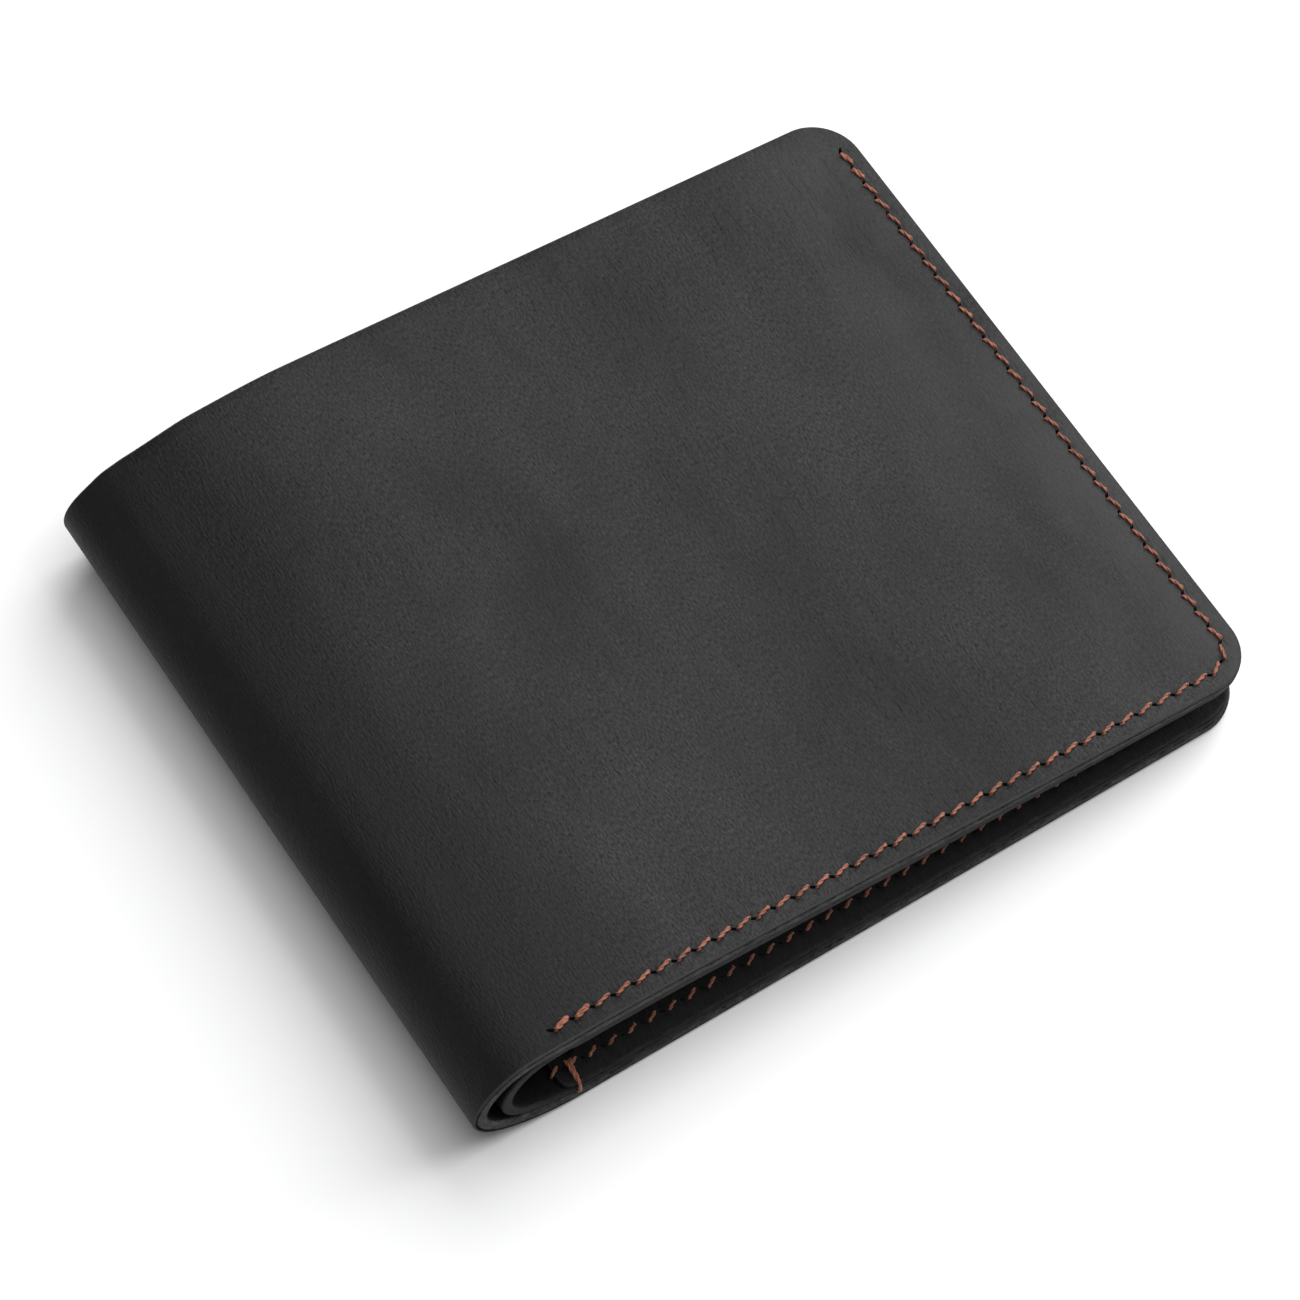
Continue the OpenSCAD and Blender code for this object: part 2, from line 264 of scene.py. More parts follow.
# ---------------------------------------------------------------- stitch holes
class Holes:
    """Slanted slits along a seam: centres, and the seam's direction at each."""

    def __init__(self, centres, along):
        self.c = np.array(centres, float).reshape(-1, 2)
        self.t = np.array(along, float).reshape(-1, 2)

    def slant(self, hand):
        """The slits' own directions; hand is 1 on the back half and -1 on the front."""
        n = np.stack([-self.t[:, 1], self.t[:, 0]], -1)
        return math.cos(SLIT_TURN) * self.t + hand * math.sin(SLIT_TURN) * n

    def near(self, lo, hi, y0=-1e9, y1=1e9):
        k = (self.c[:, 0] > lo) & (self.c[:, 0] < hi) & (self.c[:, 1] > y0) & (self.c[:, 1] < y1)
        return Holes(self.c[k], self.t[k])

    def flip(self, length):
        """The same seam on the other half, counted from the other open edge."""
        c, t = self.c.copy(), self.t.copy()
        c[:, 0] = length - c[:, 0]
        t[:, 0] = -t[:, 0]
        return Holes(c, t)

    def dimple(self, s, y):
        """How far the thread pulls the leather in at each point."""
        dip = np.zeros(len(s))
        for c in self.c:
            k = (abs(s - c[0]) < 3) & (abs(y - c[1]) < 3)
            d2 = (s[k] - c[0]) ** 2 + (y[k] - c[1]) ** 2
            dip[k] = np.maximum(dip[k], DIMPLE * np.exp(-d2 / DIMPLE_R ** 2))
        return dip


def edge_holes(inset):
    """Down the open edge from near the mouth, round the corner, and along the bottom."""
    r = CORNER_R - inset
    top, turn_y = MOUTH - SEAM_START, BOTTOM + inset + r
    side = top - turn_y
    arc = r * math.pi / 2
    count = round((side + arc) / STITCH_SIDE)
    pts, dirs = [], []
    for i in range(count + 1):
        d = (side + arc) * i / count
        if d <= side:
            pts.append((inset, top - d))
            dirs.append((0, -1))
        else:
            a = (d - side) / r
            pts.append((inset + r * (1 - math.cos(a)), turn_y - r * math.sin(a)))
            dirs.append((math.sin(a), -math.cos(a)))
    last = POCKET_LEN + 1.1
    m = round((last - CORNER_R) / STITCH_BOTTOM)
    for i in range(1, m + 1):
        pts.append((CORNER_R + (last - CORNER_R) * i / m, BOTTOM + inset))
        dirs.append((1, 0))
    return Holes(pts, dirs)


def line_holes(p, q, pitch):
    """A straight seam from p to q."""
    p, q = np.array(p, float), np.array(q, float)
    m = round(np.linalg.norm(q - p) / pitch)
    d = (q - p) / np.linalg.norm(q - p)
    return Holes([p + (q - p) * i / m for i in range(m + 1)], [d] * (m + 1))


# ---------------------------------------------------------------- leather
def make_mesh(name, verts, faces, hide, materials):
    """An object from points in millimetres; hide is each point's place on the flat leather."""
    mesh = bpy.data.meshes.new(name)
    mesh.from_pydata((np.asarray(verts) * MM).tolist(), [], faces)
    obj = bpy.data.objects.new(name, mesh)
    bpy.context.scene.collection.objects.link(obj)
    for material in materials:
        mesh.materials.append(material)
    layer = mesh.attributes.new("hide", "FLOAT_VECTOR", "POINT")
    layer.data.foreach_set("vector", (np.asarray(hide) * MM).astype(np.float32).ravel())
    mesh.polygons.foreach_set("use_smooth", [True] * len(mesh.polygons))
    return obj


def ellipse(c, long_way, a, b, count):
    t = np.linspace(0, 2 * math.pi, count, endpoint=False)
    short = np.array([-long_way[1], long_way[0]])
    return c + a * np.cos(t)[:, None] * long_way + b * np.sin(t)[:, None] * short


def flat_points(ring, vec, core, holes, hand, grid, slit):
    """The slits of a piece laid out flat, and the loose points between them and its outline."""
    slits, feather = [], []
    for c, w in zip(holes.c, holes.slant(hand)):
        slits.append(ellipse(c, w, SLIT_LONG * slit, SLIT_WIDE * slit, 10))
        feather.append(ellipse(c, w, SLIT_LONG + 0.3, SLIT_WIDE + 0.28, 12))
        feather.append(ellipse(c, w, SLIT_LONG + 0.75, SLIT_WIDE + 0.75, 12))
    soft = np.concatenate([np.zeros((0, 2))] + feather)
    soft = soft[inside(soft, ring + vec * (EDGE_ROUND + 0.45))]
    lo, hi = ring.min(0), ring.max(0)
    gx = np.arange(lo[0] + grid / 2, hi[0], grid)
    gy = np.arange(lo[1] + grid / 2, hi[1], grid * 0.87)
    field = np.array([(x + (j % 2) * grid / 2, y) for j, y in enumerate(gy) for x in gx])
    field = field[inside(field, core)]
    field = field[nearest(field, core) > grid * 0.5]
    field = field[nearest(field, holes.c) > HOLE_CLEAR]
    return slits, np.concatenate([soft, field])


def flat_net(core, slits, loose):
    """Triangles over the outline core, less its slits: the points, the triangles, and the
    point numbers of the outline and of each slit."""
    loops, at = [], 0
    for loop in [core] + slits:
        loops.append(np.arange(at, at + len(loop)))
        at += len(loop)
    edges = [(int(a), int(b)) for loop in loops for a, b in zip(loop, np.roll(loop, -1))]
    points = [Vector(p) for p in np.concatenate([core] + slits + [loose])]
    flat, _, tris, origins, _, _ = delaunay_2d_cdt(points, edges, [], 0, 1e-7, True)
    flat = np.array([tuple(v) for v in flat])
    where = {old: new for new, olds in enumerate(origins) for old in olds}
    tris = np.array([t for t in tris if len(t) == 3])
    mid = flat[tris].mean(1)
    keep = inside(mid, core)
    for slit in slits:
        k = (abs(mid - slit.mean(0)).max(1) < 1.2) & keep
        if k.any():
            keep[k] &= ~inside(mid[k], slit)
    tris = tris[keep]
    p, q, r = flat[tris[:, 0]], flat[tris[:, 1]], flat[tris[:, 2]]
    turned = (q - p)[:, 0] * (r - p)[:, 1] - (q - p)[:, 1] * (r - p)[:, 0] < 0
    tris[turned] = tris[turned][:, ::-1]
    return flat, tris, [[where[int(i)] for i in loop] for loop in loops]


def edge_rings(ring, vec, thickness, rough):
    """The cut edge as rings with their depths: rounded, with a rough wall between, and in
    thick leather a groove under the outer face."""
    e = EDGE_ROUND
    wall = thickness - 2 * e
    thick = thickness > THICK
    rings = [(ring + vec * e * ROUND_SHARE, ROUND_SHARE * e), (ring, e)]
    if thick:
        rings += [(ring + vec * GROOVE, e + 0.06), (ring + vec * GROOVE, e + 0.28),
                  (ring, e + GROOVE)]
    walls = max(1, int(wall / 0.4))
    for i in range(2 if thick else 1, walls):
        shift = rng.normal(0, rough, len(ring))[:, None] * vec
        rings.append((ring + shift, e + wall * i / walls))
    rings += [(ring, thickness - e), (ring + vec * e * ROUND_SHARE, thickness - ROUND_SHARE * e)]
    return rings


def leather(name, path, ring, thickness, base, seams, holes, hand, offset, material, edge,
            grid=GRID, rough=0.05, slit=1.0):
    """One piece of leather. ring is its flat outline, base(s, y) the depth of its outer face,
    seams the lines where the next piece goes on, and offset moves its place on the hide."""
    vec = inward(ring, seams)
    core = ring + vec * EDGE_ROUND
    slits, loose = flat_points(ring, vec, core, holes, hand, grid, slit)
    flat, tris, loops = flat_net(core, slits, loose)

    # the outer and the inner face
    n = len(flat)
    s, y = flat[:, 0], flat[:, 1]
    dip = holes.dimple(s, y)
    deep = base(s, y)
    layers = [(flat, deep + dip), (flat, deep + thickness - dip)]
    faces = [tuple(t) for t in tris] + [(c + n, b + n, a + n) for a, b, c in tris]
    kinds = [0] * len(faces)

    # the cut edge between them
    m = len(ring)
    ring_base = base(ring[:, 0], ring[:, 1])
    rings = edge_rings(ring, vec, thickness, rough)
    layers += [(place, ring_base + z) for place, z in rings]
    rows = [loops[0]] + [[2 * n + k * m + i for i in range(m)] for k in range(len(rings))]
    rows.append([i + n for i in loops[0]])
    for a, b in zip(rows[:-1], rows[1:]):
        for i in range(m):
            j = (i + 1) % m
            faces.append((a[j], a[i], b[i], b[j]))
            kinds.append(1)

    # the walls of the slits
    for loop in loops[1:]:
        for a, b in zip(loop, loop[1:] + loop[:1]):
            faces.append((a, b, b + n, a + n))
            kinds.append(2)

    sy = np.concatenate([layer[0] for layer in layers])
    depth = np.concatenate([layer[1] for layer in layers])
    verts = path.place(sy[:, 0], sy[:, 1], depth)
    hide = np.concatenate([sy, depth[:, None]], 1) + np.array(offset)
    obj = make_mesh(name, verts, faces, hide, [material, edge, hole_shade])
    mesh = obj.data
    mesh.polygons.foreach_set("material_index", kinds)
    mesh.set_sharp_from_angle(angle=math.radians(42))
    if seams:
        join_normals(mesh, path, sy, depth, n, seams, base)
    return obj


def join_normals(mesh, path, sy, depth, n, seams, base):
    """At a seam line both pieces get the folded surface's own normal, so no crease shows."""
    on = np.zeros(len(sy), bool)
    for s in seams:
        on[:2 * n] |= abs(sy[:2 * n, 0] - s) < 1e-6
    idx = np.nonzero(on)[0]
    h = 0.05
    s, y = sy[idx, 0], sy[idx, 1]
    local = depth[idx] - base(s, y)
    ds = path.place(s + h, y, base(s + h, y) + local) - path.place(s - h, y, base(s - h, y) + local)
    dy = path.place(s, y + h, base(s, y + h) + local) - path.place(s, y - h, base(s, y - h) + local)
    normals = np.cross(ds, dy)
    normals /= np.linalg.norm(normals, axis=1)[:, None]
    normals[idx >= n] *= -1
    normal_at = dict(zip(idx.tolist(), normals.tolist()))
    custom = [(0.0, 0.0, 0.0)] * len(mesh.loops)
    for poly in mesh.polygons:
        if poly.material_index != 0:
            continue
        for corner in poly.loop_indices:
            v = mesh.loops[corner].vertex_index
            if v in normal_at:
                custom[corner] = normal_at[v]
    mesh.normals_split_custom_set(custom)


# ---------------------------------------------------------------- thread
def sideways(line):
    """Two directions across a line of points, at right angles to it and to each other."""
    d = np.gradient(line, axis=0)
    d /= np.linalg.norm(d, axis=1)[:, None]
    u = np.cross(d, (0.31, 0.72, 0.62))
    u /= np.linalg.norm(u, axis=1)[:, None]
    return u, np.cross(d, u)


def tube(line, radius, sides, start):
    """A closed tube round a line of points: its vertices and faces, numbered from start."""
    u, v = sideways(line)
    t = np.linspace(0, 2 * math.pi, sides, endpoint=False)
    ring = np.cos(t)[None, :, None] * u[:, None] + np.sin(t)[None, :, None] * v[:, None]
    verts = (line[:, None] + radius * ring).reshape(-1, 3)
    faces = []
    for i in range(len(line) - 1):
        for k in range(sides):
            a, b = start + i * sides + k, start + i * sides + (k + 1) % sides
            faces.append((a, b, b + sides, a + sides))
    faces.append(tuple(start + k for k in range(sides))[::-1])
    last = start + (len(line) - 1) * sides
    faces.append(tuple(last + k for k in range(sides)))
    return verts, faces


def twist(mid, size, start):
    """Two plies wound round each other along a line."""
    u, v = sideways(mid)
    along = np.concatenate([[0], np.cumsum(np.linalg.norm(np.diff(mid, axis=0), axis=1))])
    phase = rng.uniform(0, 2 * math.pi)
    verts, faces = [], []
    for ply in (0, math.pi):
        w = phase + ply + along * 2 * math.pi / PLY_LAY
        line = mid + PLY_OFF * size * (np.cos(w)[:, None] * u + np.sin(w)[:, None] * v)
        vs, fs = tube(line, PLY_R * size * (1 + rng.normal(0, 0.04)), 7, start)
        verts.append(vs)
        faces += fs
        start += len(vs)
    return np.concatenate(verts), faces


def stitch_lines(holes, path, surface, hand, way, proud):
    """Where the thread runs from hole to hole: way is 1 on a face that looks out of the wallet,
    where the end stitches are sewn twice, and -1 on one that looks in, where it's sunk."""
    slant = holes.slant(hand)
    tuck = 0.0 if way == 1 else TUCK
    last = len(holes.c) - 2
    twice = [0, 1, last - 1, last] if way == 1 else []
    order = [(i, 0.0) for i in range(last + 1) if i not in twice]
    order += [(i, side) for i in twice for side in (-TWIN_GAP, TWIN_GAP)]
    t = np.linspace(0, 1, 19)
    lines = []
    for i, side in order:
        across = np.array([-holes.t[i, 1], holes.t[i, 0]]) * side
        a = holes.c[i] + slant[i] * SLIT_LONG * 0.8 + holes.t[i] * tuck
        b = holes.c[i + 1] - slant[i + 1] * SLIT_LONG * 0.8 - holes.t[i + 1] * tuck
        flat = a + (b - a) * smooth(t, 0.02, 0.98)[:, None] + across * np.sin(np.pi * t)[:, None]
        lift = proud * np.sin(np.pi * t).clip(0) ** 0.45 - 1.1 * (2 * abs(t - 0.5)) ** 9
        level = surface(flat[:, 0], flat[:, 1]) - way * lift
        lines.append(path.place(flat[:, 0], flat[:, 1], level))
    return lines


def stitches(name, lines, size=1.0):
    """All the thread of one seam, as one piece."""
    verts, faces, count = [], [], 0
    for mid in lines:
        vs, fs = twist(mid, size, count)
        verts.append(vs)
        faces += fs
        count += len(vs)
    verts = np.concatenate(verts)
    return make_mesh(name, verts, faces, verts, [thread_finish])


def wrap(e0, e1):
    """A turn of thread that ties the back half's seam down over the pocket's and panel's rims."""
    rim, inner = BOTTOM + SET_BACK, PANEL_T + POCKET_T
    stops = [(3.3, inner - 0.7), (3.1, inner + 0.1), (2.4, inner + 0.24), (1.0, inner + 0.26),
             (0.1, inner + 0.2), (-0.22, inner - 0.5), (-0.26, 1.0), (-0.12, 0.1), (0.5, -0.12)]
    knots = np.linspace(0, len(stops) - 1, 40)
    y = rim + np.interp(knots, range(len(stops)), [p[0] for p in stops])
    depth = np.interp(knots, range(len(stops)), [p[1] for p in stops])
    blur = np.array([0.25, 0.5, 0.25])
    y[1:-1], depth[1:-1] = np.convolve(y, blur, "valid"), np.convolve(depth, blur, "valid")
    return panel.place(np.linspace(e0, e1, len(y)), y, depth)


# ---------------------------------------------------------------- materials
class Nodes:
    """A small helper that builds one material's node tree."""

    def __init__(self, name):
        self.mat = bpy.data.materials.new(name)
        self.mat.use_nodes = True
        self.tree = self.mat.node_tree
        self.tree.nodes.clear()
        self.out = self.new("ShaderNodeOutputMaterial")
        self.shader = self.new("ShaderNodeBsdfPrincipled")
        self.link(self.shader.outputs[0], self.out.inputs[0])

    def new(self, kind, **values):
        node = self.tree.nodes.new(kind)
        for key, value in values.items():
            setattr(node, key, value)
        return node

    def link(self, a, b):
        self.tree.links.new(a, b)

    def coords(self, scale=(1, 1, 1), turn=0.0):
        """The place on the flat leather. The scale acts first, along s, y and depth."""
        attribute = self.new("ShaderNodeAttribute", attribute_name="hide")
        mapping = self.new("ShaderNodeMapping")
        mapping.inputs["Scale"].default_value = scale
        mapping.inputs["Rotation"].default_value = (0, 0, turn)
        self.link(attribute.outputs["Vector"], mapping.inputs[0])
        return mapping.outputs[0]

    def noise(self, size, detail=2.0, rough=0.5, stretch=(1, 1, 1), turn=0.0, warp=0.0):
        """Noise whose features are about size millimetres across."""
        node = self.new("ShaderNodeTexNoise")
        node.inputs["Scale"].default_value = 1000.0 / size
        node.inputs["Detail"].default_value = detail
        node.inputs["Roughness"].default_value = rough
        node.inputs["Distortion"].default_value = warp
        self.link(self.coords(stretch, turn), node.inputs["Vector"])
        return node.outputs["Fac"]

    def cells(self, size, feature, stretch=(1, 1, 1), turn=0.0):
        """Cracked cells about size millimetres across."""
        node = self.new("ShaderNodeTexVoronoi", feature=feature)
        node.inputs["Scale"].default_value = 1000.0 / size
        self.link(self.coords(stretch, turn), node.inputs["Vector"])
        return node.outputs["Distance"]

    def ramp(self, value, stops):
        node = self.new("ShaderNodeValToRGB")
        node.color_ramp.elements[0].position, node.color_ramp.elements[0].color = stops[0]
        node.color_ramp.elements[1].position, node.color_ramp.elements[1].color = stops[-1]
        for position, colour in stops[1:-1]:
            node.color_ramp.elements.new(position).color = colour
        self.link(value, node.inputs[0])
        return node.outputs[0]

    def span(self, value, a, b, lo=0.0, hi=1.0):
        """Values from a to b made into lo to hi, and held there beyond."""
        node = self.new("ShaderNodeMapRange", clamp=True)
        for socket, number in zip(node.inputs[1:5], (a, b, lo, hi)):
            socket.default_value = number
        self.link(value, node.inputs[0])
        return node.outputs[0]

    def math(self, kind, a, b=None):
        node = self.new("ShaderNodeMath", operation=kind)
        for socket, value in zip(node.inputs, (a, b)):
            if value is None:
                continue
            if isinstance(value, (int, float)):
                socket.default_value = value
            else:
                self.link(value, socket)
        return node.outputs[0]

    def mix(self, fac, a, b, kind="MIX"):
        node = self.new("ShaderNodeMix", data_type="RGBA", blend_type=kind)
        for socket, value in ((node.inputs[0], fac), (node.inputs[6], a), (node.inputs[7], b)):
            if isinstance(value, (int, float)):
                socket.default_value = value
            elif isinstance(value, tuple):
                socket.default_value = value + (1,)
            else:
                self.link(value, socket)
        return node.outputs[2]

    def bump(self, height, distance, strength=1.0, under=None):
        node = self.new("ShaderNodeBump")
        node.inputs["Strength"].default_value = strength
        node.inputs["Distance"].default_value = distance * MM
        self.link(height, node.inputs["Height"])
        if under is not None:
            self.link(under, node.inputs["Normal"])
        return node.outputs[0]

    def finish(self, colour, roughness, normal=None, **fixed):
        for value, key in ((colour, "Base Color"), (roughness, "Roughness"), (normal, "Normal")):
            if value is None:
                continue
            if isinstance(value, (int, float)):
                self.shader.inputs[key].default_value = value
            elif isinstance(value, tuple):
                self.shader.inputs[key].default_value = value + (1,)
            else:
                self.link(value, self.shader.inputs[key])
        for key, value in fixed.items():
            self.shader.inputs[key.replace("_", " ")].default_value = value
        return self.mat


def grey(v, blue=0.0):
    """A nearly neutral colour, bluer or browner by a little."""
    return (v * (1.01 - blue), v * 0.995, v * (1.03 + blue), 1)


def waxed_leather(name, dark, light, specular, painted_light_spans=None):
    """Oiled, waxed leather: cloudy where the wax has shifted, fine-grained, with soft wrinkles.
    The last argument is (s1, s2, bend1, bend2): painted highlight, paler beyond s1 and s2 at the open
    edges, and painted shade, darker at the bend."""
    m = Nodes(name)
    unbent = 1.0
    clouds = m.noise(26, 3, 0.5, stretch=(1, 0.55, 1), warp=0.5)
    patches = m.noise(8, 3, 0.6, stretch=(1, 0.5, 1), warp=0.4)
    streaks = m.noise(2.6, 3, 0.6, stretch=(1, 0.3, 1), warp=0.4)
    tone = m.math("ADD", m.math("MULTIPLY", clouds, 0.55), m.math("MULTIPLY", patches, 0.3))
    tone = m.math("ADD", tone, m.math("MULTIPLY", streaks, 0.15))
    colour = m.ramp(m.span(tone, 0.37, 0.63), [(0.0, grey(dark, 0.05)), (1.0, grey(light, -0.02))])
    fleck = m.noise(0.24, 3, 0.75, stretch=(1, 0.4, 1))
    colour = m.mix(1.0, colour, m.span(fleck, 0.3, 0.7, 0.05, 2.1), "MULTIPLY")
    scratch = m.span(m.noise(1.3, 2, 0.5, stretch=(1, 0.04, 1), turn=1.9), 0.7, 0.78)
    colour = m.mix(m.math("MULTIPLY", scratch, 0.3), colour, (light * 1.8,) * 3)
    if painted_light_spans is not None:
        s = m.new("ShaderNodeSeparateXYZ")
        m.link(m.coords(), s.inputs[0])
        at = s.outputs[0]
        # painted highlight: paler within 26 mm of each open edge, broken up by noise, standing in for
        # the brighter sheen there
        front = m.span(at, (painted_light_spans[1] - 26) * MM, (painted_light_spans[1] - 3) * MM)
        rear = m.span(at, (painted_light_spans[0] + 26) * MM, (painted_light_spans[0] + 3) * MM)
        sheen_noise = m.noise(15, 4, 0.55, stretch=(1, 0.45, 1), turn=0.3)
        painted_sheen_mask = m.math("MULTIPLY", m.math("MAXIMUM", front, rear), m.span(sheen_noise, 0.36, 0.62))
        colour = m.mix(m.math("MULTIPLY", painted_sheen_mask, 0.5), colour, (light * 2.2,) * 3)
        # painted shade: darker round the bend, where the fold turns away from the light; the same mask
        # also softens the crease bumps there
        near = m.span(at, (painted_light_spans[2] - 6) * MM, painted_light_spans[2] * MM)
        far = m.span(at, (painted_light_spans[3] + 22) * MM, painted_light_spans[3] * MM)
        bend = m.math("MULTIPLY", near, far)
        unbent = m.math("SUBTRACT", 1.0, bend)
        colour = m.mix(m.math("MULTIPLY", bend, 0.8), colour, (dark * 0.3, dark * 0.28, dark * 0.36))
    grain = m.span(m.cells(0.5, "DISTANCE_TO_EDGE", stretch=(1, 0.5, 1), turn=0.5), 0.0, 0.2)
    pebble = m.bump(grain, 0.03, 0.4)
    fine = m.bump(m.noise(0.36, 4, 0.65, stretch=(1, 0.3, 1)), 0.16, 1.0, pebble)
    crease = m.noise(1.2, 3, 0.6, stretch=(1, 0.22, 1), turn=0.1, warp=0.6)
    crease = m.math("MULTIPLY", crease, m.span(m.noise(24, 2, 0.5), 0.45, 0.6))
    soft = m.bump(m.math("MULTIPLY", crease, unbent), 0.35, 0.8, fine)
    swell = m.bump(m.noise(10, 3, 0.5), 0.7, 0.4, soft)
    rough = m.span(tone, 0.36, 0.64, 0.44, 0.58)
    return m.finish(colour, rough, swell, Specular_IOR_Level=specular, Sheen_Weight=0.02,
                    Sheen_Roughness=0.45, Sheen_Tint=(0.8, 0.82, 0.85, 1))


def cut_edge(name, dark, light, grooved=False):
    """A cut edge: fibres in layers, paler and greener than the face, with painted shade as a dark line
    in the groove under the rolled edge.
    """
    m = Nodes(name)
    fibre = m.noise(0.36, 4, 0.75, stretch=(0.45, 0.45, 1.5), warp=0.6)
    clump = m.noise(2.4, 3, 0.6)
    tone = m.math("ADD", m.math("MULTIPLY", fibre, 0.6), m.math("MULTIPLY", clump, 0.4))
    colour = m.ramp(m.span(tone, 0.41, 0.62),
                    [(0.0, (dark, dark * 1.02, dark, 1)), (1.0, (light, light * 1.07, light * 0.97, 1))])
    if grooved:
        depth = m.new("ShaderNodeSeparateXYZ")
        m.link(m.coords(), depth.inputs[0])
        z = depth.outputs[2]
        # painted shade: a dark line in the groove under the rolled edge, 0.2 to 0.66 mm below the face
        line = m.math("MULTIPLY", m.span(z, 0.2 * MM, 0.32 * MM), m.span(z, 0.66 * MM, 0.5 * MM))
        colour = m.mix(m.math("MULTIPLY", line, 0.85), colour, (dark * 0.5,) * 3)
        rolled = m.span(z, 0.3 * MM, 0.15 * MM)
        colour = m.mix(rolled, colour, (light * 0.45,) * 3)
    normal = m.bump(fibre, 0.3, 0.8)
    return m.finish(colour, 0.78, normal, Specular_IOR_Level=0.25)


def slit_shade_finish(name):
    """The inside of a stitch slit, painted near black as the shade in the hole."""
    m = Nodes(name)
    tone = m.noise(0.6, 2, 0.5)
    colour = m.ramp(tone, [(0.3, grey(0.004)), (0.8, grey(0.012))])
    return m.finish(colour, 0.9)


def waxed_thread(name):
    """Copper-brown waxed thread, uneven in tone."""
    m = Nodes(name)
    fibre = m.noise(0.22, 3, 0.6, warp=0.5)
    shade = m.noise(3.0, 2, 0.5)
    tone = m.math("ADD", m.math("MULTIPLY", fibre, 0.6), m.math("MULTIPLY", shade, 0.4))
    colour = m.ramp(m.span(tone, 0.35, 0.65),
                    [(0.0, (0.16, 0.045, 0.022, 1)), (1.0, (0.42, 0.135, 0.07, 1))])
    return m.finish(colour, 0.5, m.bump(fibre, 0.05, 0.5), Specular_IOR_Level=0.45,
                    Sheen_Weight=0.2)


# painted shade: the walls of the stitch slits
hole_shade = slit_shade_finish("stitch_hole")
cover_leather = waxed_leather("cover_leather", 0.010, 0.026, 0.15,
                              (0, cover.s4, cover.s1, cover.s3))
# painted shade: the bill panel and the pockets are the cover's leather, painted several times darker for
# the shade inside the wallet
panel_leather = waxed_leather("panel_leather", 0.0016, 0.0045, 0.10)
pocket_leather = waxed_leather("pocket_leather", 0.0018, 0.005, 0.11)
cover_edge = cut_edge("cover_edge", 0.005, 0.075, True)
# painted shade: the inner leathers' cut edges, painted far darker than the cover's for the shade between
# and under the layers
panel_edge_shaded = cut_edge("panel_edge_shaded", 0.003, 0.020)
thread_finish = waxed_thread("copper_thread")


# ---------------------------------------------------------------- the seams
edge_seam = edge_holes(SEAM_INSET)
inner_seam = edge_holes(SEAM_INSET + INNER_INSET)
top_pocket = BOTTOM + POCKET_H
top_middle = top_pocket + SLOT_STEP
top_upper = top_middle + SLOT_STEP
side_seam = line_holes((SIDE_SEAM, BOTTOM + 2 * SEAM_INSET), (SIDE_SEAM, top_upper - 2), STITCH_LINE)
no_holes = Holes([], [])


def lift_of(share, e, y):
    """How far a pocket stands off the bill panel over what lies behind it."""
    across = smooth(e, SEAM_INSET + 1.5, 17) * smooth(e, SIDE_SEAM - 1, SIDE_SEAM - 13)
    return share * across * smooth(y, BOTTOM + SEAM_INSET + 1, BOTTOM + 15)


def level_face(depth):
    """A face that lies at one depth everywhere."""
    return lambda s, y: np.full_like(s, depth)


def on_half(path, back, function):
    """A function of the distance from a half's own open edge, as one of s."""
    if back:
        return function
    return lambda s, y: function(path.s4 - s, y)


def seam_on(path, back, holes):
    """A seam given from a half's own open edge, in s."""
    return holes if back else holes.flip(path.s4)


def flip_ring(ring, length):
    """An outline on the other half, counted from the other open edge."""
    ring = ring.copy()
    ring[:, 0] = length - ring[:, 0]
    return ring[::-1]


# ---------------------------------------------------------------- the two long strips
def strip(kind, path, thickness, y1, material, edge, node, offset, rim, drop, holes):
    """One long piece of leather, made as two halves and five bends that share their edges.
    rim is how far it's set back, drop how much smaller its corner is at the mouth."""
    face = level_face(0.0)
    cuts = [path.s1] + [path.crossing(k) for k in range(1, 6)]
    r, y0 = CORNER_R, BOTTOM + rim
    first, last, end = cuts[0], cuts[5], path.s4 - rim
    ring = rounded([(rim, y0, r), (first, y0, 0), (first, y1, 0), (rim, y1, r - drop)])
    back = leather(f"{kind}_back", path, ring, thickness, face, (first,), holes, 1, offset,
                   material, edge)
    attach(back, "back_half")
    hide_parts(f"back_{node}")
    for k in range(1, 6):
        a, b = cuts[k - 1], cuts[k]
        ring = rounded([(a, y0, 0), (b, y0, 0), (b, y1, 0), (a, y1, 0)], 0.6)
        own = holes.near(a + 0.5, b) if k == 1 else no_holes
        bend = leather(f"{kind}_bend_{k}", path, ring, thickness, face, (a, b), own, 1, offset,
                       material, edge, grid=0.75)
        ends = path.place(np.array([a, b]), np.zeros(2), np.full(2, thickness / 2)) * MM
        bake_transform(bend)
        if k < 5:
            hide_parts(f"{kind}_spine_{k}")
    ring = rounded([(last, y0, 0), (end, y0, r), (end, y1, r - drop), (last, y1, 0)])
    front = leather(f"{kind}_front", path, ring, thickness, face, (last,), holes.flip(path.s4), -1,
                    offset, material, edge)
    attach(front, "front_half")
    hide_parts(f"front_{node}")


strip("cover", cover, COVER_T, MOUTH, cover_leather, cover_edge, "cover", (0, 0, 0), 0.0, 0.0,
      edge_seam)
strip("panel", panel, PANEL_T, MOUTH - PANEL_DROP, panel_leather, panel_edge_shaded, "bill_panel",
      (300, 0, 40), SET_BACK, 1.0, inner_seam.near(0, 1e3, top_upper))


